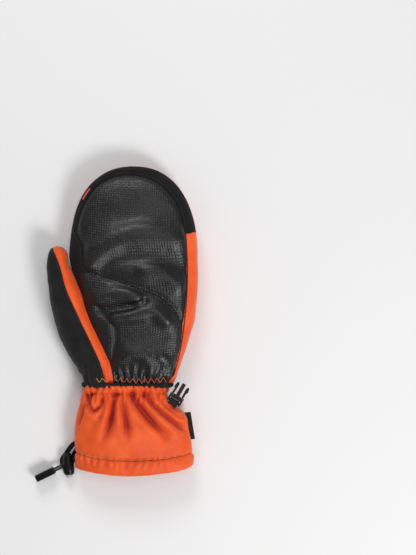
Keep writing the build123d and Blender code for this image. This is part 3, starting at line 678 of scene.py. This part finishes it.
thumb_top = thumb_spots[:, 2] > 23
thumb_spots, _ = snap(thumb_spots, thumb_faces, stripe_level(thumb_spots), thumb_top)
centre = centres(thumb_spots, thumb_faces)
stripe = (stripe_level(centre) > 0) & (centre[:, 2] > 23)
inner = (stripe_level(centre) > 0) & ~stripe & (centre[:, 1] > FLEX_Y)
thumb_spots += thumb_normals * thumb_relief(thumb_spots)[:, None]
thumb_spots[:, 2] = np.maximum(thumb_spots[:, 2], 0.4)
thumb_pieces = [
    panel_piece("thumb_suede", ~stripe & ~inner, thumb_spots, thumb_faces, SUEDE,
                ["thumb_back_panel", "thumb_heel_panel"], body=None),
    panel_piece("thumb_side_stripe", stripe, thumb_spots, thumb_faces, ORANGE,
                ["thumb_stripe", "thumb_stripe_heel"], body=None),
    panel_piece("thumb_grip", inner, thumb_spots, thumb_faces, LEATHER, ["thumb_palm_panel"], body=None),
]

# ------------------------------------------------------------------ cuff, hem and lining in one sheet
CUFF_COUNT = 300
CUFF_START_Y = -70.0
CUFF_STOP_Y = -158.0  # where the sections are read last; the rows end at the hem's edge
HEM_STITCH = ((-95.0, -129.5), (12.0, -150.4), (95.0, -138.0))
HEM_EDGE = ((-95.0, -144.3), (8.6, -166.1), (95.0, -151.1))
# folds in plan: points, width, depth
CUFF_FOLDS = (
    (((-33.0, -80.0), (-36.0, -90.0), (-31.0, -97.0), (-24.0, -92.0), (-20.0, -82.0)), 2.6, 4.4),
    (((-9.0, -80.0), (-10.0, -98.0), (-14.0, -114.0), (-20.0, -126.0)), 3.6, 6.6),
    (((-16.0, -84.0), (-20.0, -96.0), (-24.0, -104.0)), 3.0, 2.6),
    (((-2.0, -80.0), (2.0, -98.0), (5.0, -112.0), (6.0, -124.0)), 3.4, 5.0),
    (((10.0, -80.0), (19.0, -92.0), (32.0, -108.0), (47.0, -125.0)), 4.2, 7.0),
    (((24.0, -80.0), (38.0, -94.0), (54.0, -108.0), (70.0, -120.0)), 3.8, 6.4),
    (((38.0, -82.0), (50.0, -94.0), (62.0, -104.0)), 3.0, 3.4),
    (((-40.0, -82.0), (-43.0, -96.0), (-48.0, -112.0)), 3.4, 4.0),
)


def arc_y(arc, x):
    """Height of a shallow curve over x, through its three points."""
    (a, ya), (b, yb), (c, yc) = arc
    return (
        ya * (x - b) * (x - c) / ((a - b) * (a - c))
        + yb * (x - a) * (x - c) / ((b - a) * (b - c))
        + yc * (x - a) * (x - b) / ((c - a) * (c - b))
    )


def cuff_sheet():
    """Rows run down the outside, round the hem and back up the inside."""
    down = np.linspace(0, 1, 76)
    turn = np.linspace(0, math.pi, 9)[1:-1]
    back = np.linspace(1, 0.02, 60)
    plan = [(v, 0.0, 0.0) for v in down]
    plan += [(1.0, 3.4 * (1 - math.cos(t)), 1.6 * math.sin(t)) for t in turn]
    plan += [(v, 6.8 + 4.2 * math.sin(math.pi * v) ** 0.5, 0.0) for v in back]
    spots = []
    for v, inset, drop in plan:
        y = CUFF_START_Y + v * (CUFF_STOP_Y - CUFF_START_Y)
        left, right, bottom, top = (
            float(smooth(-CUFF_TUBE[:, 0], CUFF_TUBE[:, k], np.array([-y]))[0]) for k in (1, 2, 3, 4)
        )
        x, z = section(left + inset, right - inset, bottom + inset, top - inset, CUFF_COUNT, 2.35)
        row_y = CUFF_START_Y + v * (arc_y(HEM_EDGE, x) + 1.6 - CUFF_START_Y) - drop
        spots.append(np.stack([x, row_y, z], axis=1))
    return np.concatenate(spots), len(plan), len(down)


cuff_spots, cuff_rows, cuff_down = cuff_sheet()
cuff_faces = grid_faces(cuff_rows, CUFF_COUNT, False)
cuff_normals = normals_of(cuff_spots, cuff_faces)
outer_count = cuff_down * CUFF_COUNT
outer_middle = cuff_spots[:outer_count].mean(axis=0)
if ((cuff_spots[:outer_count] - outer_middle) * cuff_normals[:outer_count]).sum() < 0:
    cuff_faces = cuff_faces[:, ::-1]
    cuff_normals = -cuff_normals


def cuff_relief(spots, normals):
    """Folds that fall from the gathered wrist, and the puckered hem."""
    plan = spots[:, :2]
    x, y, z = spots.T
    facing = ramp(np.abs(normals[:, 2]), 0.2, 0.75)
    upper = ramp(z, 10, 24) * facing
    stitch = y - arc_y(HEM_STITCH, x)
    body = ramp(stitch, 0, 14) * (1 - ramp(y, -84, -74))
    height = 1.4 * crumple(spots, 30, 20.3) * body * facing
    height += (0.3 + 0.5 * facing) * crumple(spots, 12, 5.9) + 0.25 * crumple(spots, 5, 2.5)
    for points, width, depth in CUFF_FOLDS:
        line = curve(points, 2.0)
        d = distance(line, plan)
        fade = 1 - 0.8 * ramp(-y, 104, 128)
        ridge = 0.4 * depth * bell(d - 2.2 * width, 1.3 * width)
        height += upper * fade * (ridge - 1.25 * depth * bell(d, width))
    under = 1 - upper
    height += under * 1.1 * np.sin(x / 9 + 2 * crumple(spots, 40, 1.1)) * body
    # gathered neck and its stitch row
    neck = ramp(y, -98, -80)
    height += 1.5 * neck * np.sin(x * 2 * math.pi / 6.4 + 4.5 * crumple(spots, 15, 3.3))
    height += 1.3 * neck * crumple(spots, 6, 9.9)
    height -= 1.8 * bell(y + 79.4, 1.7)
    # hem
    height -= 1.5 * bell(stitch, 1.6)
    hem = (1 - ramp(stitch, -4, 0))
    pucker = bell(stitch + 2.5, 5.0) * (0.9 * np.sin(x * 2 * math.pi / 7.5 + 5 * crumple(spots, 14, 8.1)))
    height += hem * (1.0 + 0.9 * crumple(spots, 13, 6.2)) + pucker * (1 - ramp(stitch, 1, 5))
    return np.where(height < 0, soft_limit(height, 9.0), soft_limit(height, 4.4))


row_of = cuff_faces.min(axis=1) // CUFF_COUNT
stitch_level = cuff_spots[:, 1] - arc_y(HEM_STITCH, cuff_spots[:, 0])
is_outer = np.zeros(len(cuff_spots), bool)
is_outer[:outer_count] = True
cuff_spots, _ = snap(cuff_spots, cuff_faces, stitch_level, is_outer)
centre = centres(cuff_spots, cuff_faces)
above_stitch = centre[:, 1] > arc_y(HEM_STITCH, centre[:, 0])
outer_face = row_of < cuff_down - 1
lining = ~outer_face & above_stitch
hem = ~above_stitch
height = cuff_relief(cuff_spots, cuff_normals)
height[outer_count + 4 * CUFF_COUNT:] = 0.0
cuff_spots += cuff_normals * height[:, None]
# Painted shade: the deeper a fold sinks, the darker its orange is painted, up to a deep red.
cuff_painted_shade = ramp(-height, 0.2, 5.5)
cuff_spots[:, 2] = np.maximum(cuff_spots[:, 2], 0.15)
palm_side = centre[:, 2] > 18
panel_piece("cuff_palm_side", outer_face & above_stitch & palm_side, cuff_spots, cuff_faces, ORANGE,
            ["cuff_palm_panel"], painted_shade=cuff_painted_shade)
panel_piece("cuff_back_side", outer_face & above_stitch & ~palm_side, cuff_spots, cuff_faces, ORANGE,
            ["cuff_back_panel"], painted_shade=cuff_painted_shade)
panel_piece("cuff_hem", hem, cuff_spots, cuff_faces, ORANGE, ["hem_channel", "hem_drawcord"], thickness=0.6,
            painted_shade=cuff_painted_shade)
panel_piece("cuff_inner_lining", lining, cuff_spots, cuff_faces, FLEECE, ["cuff_lining", "cuff_padding"],
            thickness=0.6)

# ------------------------------------------------------------------ inner layers
inner_rows = tube_rows(HAND_TUBE, HAND_END_LENGTH, 6.4, 3.0)
inner_spots, inner_faces, _ = skin(inner_rows, 120)
piece = mesh_piece("hand_padding", inner_spots, inner_faces, WADDING, "mitten", 2.0)
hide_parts("hand_insulation", "hand_membrane")
fleece_rows = tube_rows(HAND_TUBE, HAND_END_LENGTH, 9.4, 3.0)
fleece_spots, fleece_faces, _ = skin(fleece_rows, 120)
piece = mesh_piece("hand_fleece", fleece_spots, fleece_faces, FLEECE, "mitten", 1.5)
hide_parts("hand_lining")
pad_rows = tube_rows(THUMB_TUBE[6:], THUMB_END_LENGTH, 4.2, 2.6)
pad_spots, pad_faces, _ = skin(pad_rows, 70, power=2.2)
piece = mesh_piece("thumb_padding", pad_spots, pad_faces, WADDING, "thumb", 1.2)
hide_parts("thumb_insulation", "thumb_membrane")
pad_rows = tube_rows(THUMB_TUBE[6:], THUMB_END_LENGTH, 5.8, 2.6)
pad_spots, pad_faces, _ = skin(pad_rows, 70, power=2.2)
piece = mesh_piece("thumb_fleece", pad_spots, pad_faces, FLEECE, "thumb", 1.0)
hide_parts("thumb_lining")

# ------------------------------------------------------------------ surface finder for stitches and trims
all_spots = np.vstack((hand_spots, thumb_spots, cuff_spots))
before_cuff = len(hand_spots) + len(thumb_spots)
all_faces = np.vstack((hand_faces, thumb_faces + len(hand_spots), cuff_faces + before_cuff))
surface = BVHTree.FromPolygons([tuple(p) for p in all_spots], [tuple(int(i) for i in f) for f in all_faces])


def on_surface(line, lift):
    """Drops plan points onto the mitten from above."""
    found = []
    for x, y in line[:, :2]:
        spot, _, _, _ = surface.ray_cast(Vector((x, y, 90)), Vector((0, 0, -1)))
        if spot is not None:
            found.append((spot.x, spot.y, spot.z + lift))
    return np.array(found)


def stitches(name, line, pitch, share, radius, material, zigzag=0.0, body="mitten"):
    """A row of stitches on the surface, along a plan line."""
    fine = curve(line, 0.4) if len(line) < 40 else line
    keys = np.concatenate(([0], np.cumsum(np.linalg.norm(np.diff(fine[:, :2], axis=0), axis=1))))
    paths = []
    for k in range(int(keys[-1] / pitch)):
        at = np.linspace(k * pitch, (k + share) * pitch, 6)
        plan = np.stack([np.interp(at, keys, fine[:, 0]), np.interp(at, keys, fine[:, 1])], axis=1)
        if zigzag:
            swing = np.linspace(-1, 1, 6) * zigzag * (1 if k % 2 else -1)
            plan[:, 1] += swing
        path = on_surface(plan, 0.0)
        if len(path) == 6:
            path[:, 2] += radius * np.array([-0.5, 0.5, 0.9, 0.9, 0.5, -0.5])
            paths.append(path)
    return tubes(name, paths, radius, material, body, sides=6)


def beside(line, gap):
    """The same plan line moved sideways."""
    way = np.gradient(line[:, :2], axis=0)
    way /= np.linalg.norm(way, axis=1, keepdims=True)
    return line[:, :2] + np.stack([-way[:, 1], way[:, 0]], axis=1) * gap


fine_seam = curve(PALM_SEAM, 0.4)
stitches("palm_topstitch", beside(fine_seam, -2.0), 2.6, 0.72, 0.24, BLACK_THREAD)
cap_line = curve(PALM_TIP + PALM_LITTLE_SIDE[:1], 0.4)
stitches("cap_topstitch", beside(cap_line, 1.9), 2.6, 0.72, 0.24, BLACK_THREAD)
wrist_line = np.array([(-7.5, -64.2), (10, -64.8), (30, -64.8), (50.3, -63.6)])
stitches("wrist_zigzag", wrist_line, 3.25, 0.95, 0.32, ORANGE_THREAD, zigzag=2.7)
heel_line = np.array([(-27.0, -64.5), (-20.0, -64.4), (-12.0, -64.2)])
stitches("wrist_zigzag_heel", heel_line, 3.25, 0.95, 0.34, TAN_THREAD, zigzag=2.3)
hem_x = np.linspace(-50.5, 74.0, 320)
hem_line = np.stack([hem_x, arc_y(HEM_STITCH, hem_x) + 0.9], axis=1)
stitches("hem_stitches", hem_line, 3.1, 0.7, 0.4, TAN_THREAD)
neck_line = np.stack([np.linspace(-41, 48.5, 230), np.full(230, -79.4)], axis=1)
stitches("neck_stitches", neck_line, 2.8, 0.7, 0.3, ORANGE_THREAD)
thumb_stitch = stitches("thumb_stitches", beside(curve(STRIPE_OUTER, 0.4), -1.7), 2.6, 0.7, 0.24,
                        BLACK_THREAD, body=None)
thumb_pieces.append(thumb_stitch)

piping_line = on_surface(curve(PALM_LITTLE_SIDE[:4] + ((55.0, -60.0),), 1.2), 0.15)
tubes("gusset_piping", [piping_line], 0.75, PIPING, "mitten")
tip_piping = on_surface(curve(((-41.5, 129.0), (-38.3, 134.5), (-34.3, 139.5)), 0.8), -0.5)
tubes("tip_piping", [tip_piping], 0.9, ORANGE, "mitten")

for piece in thumb_pieces:
    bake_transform(piece)

# ------------------------------------------------------------------ ruffled binding at the wrist
band = []
BAND_COUNT = 420
BAND_ROWS = ((-67.4, -0.6), (-68.2, 0.9), (-69.6, 1.5), (-71.2, 1.5), (-72.6, 0.8), (-73.2, -0.6))
for k, (y, out) in enumerate(BAND_ROWS):
    x, z = section(-42.0 - out, 52.8 + out, 0.8 - 0.2 * out, 35.8 + out, BAND_COUNT, 2.35)
    ruffle = np.sin(np.arange(BAND_COUNT) * 2 * math.pi * 52 / BAND_COUNT) * (0.7 if 0 < k < 5 else 0.1)
    mid = np.array([5.0, 18.0])
    away = np.stack([x, z], axis=1) - mid
    away /= np.linalg.norm(away, axis=1, keepdims=True)
    x, z = x + away[:, 0] * ruffle, np.maximum(z + away[:, 1] * ruffle, 0.2)
    band.append(np.stack([x, np.full(BAND_COUNT, y) + 0.5 * ruffle, z], axis=1))
band = np.concatenate(band)
band_faces = grid_faces(6, BAND_COUNT, False)
piece = mesh_piece("wrist_binding", band, band_faces, WEBBING, "mitten", 0.5)
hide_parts("wrist_elastic")

# ------------------------------------------------------------------ side label
label_path = curve(((64.5, -115.4, 17.6), (70.0, -114.8, 17.8), (75.6, -114.2, 17.2)), 0.5)
piece = ribbon("side_label", label_path, (0.16, -1.0, 0.0), 29.6, 0.9, WEBBING, "mitten")
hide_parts("woven_side_label")

# ------------------------------------------------------------------ lock tether and buckle webbing
tether_points = ((-47.0, -130.5, 13.0), (-55.5, -137.0, 8.0), (-62.0, -146.0, 3.6), (-66.6, -153.6, 2.0),
                 (-65.0, -158.8, 1.7), (-60.0, -160.2, 1.6), (-56.0, -156.5, 1.7), (-54.6, -149.5, 2.4),
                 (-51.0, -142.5, 6.0), (-47.0, -137.0, 11.0))
tether_path = curve(tether_points, 0.9)
tether_way = np.gradient(tether_path, axis=0)
tether_across = np.cross(tether_way, (0, 0, 1.0))
piece = ribbon("lock_tether_strap", tether_path, tether_across, 5.2, 1.2, WEBBING, "mitten")
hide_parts("lock_tether")

joints = {joint["name"]: joint for joint in frame["record"]["behaviour"]["joints"]}
bar = np.array(joints["buckle_swing"]["pos_m"]) / MM
bar_side = np.array(joints["buckle_swing"]["axis"])
prong_up = np.array(joints["prong_right"]["axis"])
prong_way = np.cross(prong_up, bar_side)
level_back = -np.cross((0, 0, 1.0), bar_side)
level_back /= np.linalg.norm(level_back)
ring = []
for turn in np.linspace(-0.6, 1.5 * math.pi, 26):
    ring.append(bar + 2.3 * (prong_way * math.sin(turn) + prong_up * -math.cos(turn)))
fall = level_back * 6 - np.array((0, 0, 14.0))
foot = bar + fall * 0.95
start = [foot + prong_way * 0.7 + (ring[0] - foot) * s for s in (0.0, 0.35, 0.7)]
stop = [foot - prong_way * 0.7 + (ring[-1] - foot) * s for s in (0.7, 0.35, 0.0)]
webbing_path = curve(start + ring + stop, 0.6)
piece = ribbon("buckle_strap", webbing_path, bar_side, 10.4, 1.0, WEBBING, "mitten")
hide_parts("buckle_webbing")

# ------------------------------------------------------------------ free cords
strand_way = np.array(joints["cord_pull"]["axis"])
strand_side = np.cross((0, 0, 1.0), strand_way)
lock_centre = np.array((-59.4, -155.9, 8.8))
STRANDS = (("cord_upper", "drawcord_strand_upper", -1), ("cord_lower", "drawcord_strand_lower", 1))
for name, cad_node, side in STRANDS:
    line = bpy.data.curves.new(name, "CURVE")
    line.dimensions = "3D"
    spline = line.splines.new("NURBS")
    places = (-17.5, -6.0, 6.0, 16.0, 24.5)
    spline.points.add(len(places) - 1)
    for point, place in zip(spline.points, places):
        spot = (lock_centre + strand_way * place + strand_side * side * 1.25) * MM
        point.co = (*spot, 1)
    spline.order_u = 3
    spline.use_endpoint_u = True
    line.bevel_depth = 1.1 * MM
    line.bevel_resolution = 4
    line.resolution_u = 12
    line.materials.append(CORD)
    cord = bpy.data.objects.new(name, line)
    bpy.context.scene.collection.objects.link(cord)
    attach(cord, "cord_pull")
    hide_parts(cad_node)

# ------------------------------------------------------------------ spring of the cord lock
lock_in = np.array(joints["lock_button"]["axis"])
lock_across = np.cross((0, 0, 1.0), lock_in)
SPRING_SPAN = (4.3, 8.7)  # from the crossing of the cords, along the button's travel
SPRING_TURNS = 4
coil = []
for share in np.linspace(0, 1, 97):
    turn = share * SPRING_TURNS * 2 * math.pi
    middle = lock_centre + lock_in * (SPRING_SPAN[0] + share * (SPRING_SPAN[1] - SPRING_SPAN[0]))
    coil.append(middle + 2.4 * (lock_across * math.cos(turn) + np.array((0, 0, 1.0)) * math.sin(turn)))
piece = tubes("lock_spring", [coil], 0.24, STEEL, "mitten")
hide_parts("cord_lock_spring")
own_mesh(piece)

# ------------------------------------------------------------------ moulded parts keep their CAD shape
CARRIED = {
    BLACK_PLASTIC: ("buckle_body", "buckle_prong_left", "buckle_prong_right", "cord_lock_barrel",
                    "cord_exit_eyelet", "cord_end_housing", "cord_end_cover"),
    GREY_PLASTIC: ("cord_lock_plunger",),
}
for material, names in CARRIED.items():
    for name in names:
        piece = frame["nodes"][name]
        for held in piece.material_slots:
            held.material = material

# ------------------------------------------------------------------ floor, light and camera
floor_material, _ = new_material("floor", (0.86, 0.86, 0.86), 0.9, specular=0.1)
floor_mesh = bpy.data.meshes.new("floor")
floor_mesh.from_pydata([(-4, -4, 0), (4, -4, 0), (4, 4, 0), (-4, 4, 0)], [], [(0, 1, 2, 3)])
floor_mesh.materials.append(floor_material)
floor = bpy.data.objects.new("floor", floor_mesh)
bpy.context.scene.collection.objects.link(floor)

world = bpy.data.worlds.new("studio")
bpy.context.scene.world = world
world.use_nodes = True
world.node_tree.nodes["Background"].inputs["Color"].default_value = (1, 1, 1, 1)
world.node_tree.nodes["Background"].inputs["Strength"].default_value = 0.36


def area_light(name, spot, target, size, power):
    light = bpy.data.lights.new(name, "AREA")
    light.size = size
    light.energy = power
    lamp = bpy.data.objects.new(name, light)
    lamp.location = spot
    lamp.rotation_euler = (Vector(target) - Vector(spot)).to_track_quat("-Z", "Y").to_euler()
    bpy.context.scene.collection.objects.link(lamp)


area_light("key", (0.75, -0.85, 1.2), (0.05, 0, 0), 0.5, 13.5)
area_light("fill", (-0.2, 1.25, 1.0), (0.05, 0.05, 0), 0.6, 8.2)
area_light("top", (0.25, 0.35, 1.7), (0.05, 0.05, 0), 0.4, 2.5)

SCALE = 1.07
VIEW_WIDTH = 416 * SCALE * MM
view_centre = Vector((92.0 * MM, 45.2 * MM, 0.03))
CAMERA_HEIGHT = 1.7
camera_data = bpy.data.cameras.new("camera")
camera_data.sensor_fit = "HORIZONTAL"
camera_data.sensor_width = 36
camera_data.lens = 36 * CAMERA_HEIGHT / VIEW_WIDTH
camera = bpy.data.objects.new("camera", camera_data)
camera.location = view_centre + Vector((0, 0, CAMERA_HEIGHT))
bpy.context.scene.collection.objects.link(camera)
bpy.context.scene.camera = camera
bpy.context.scene.view_settings.view_transform = "Standard"
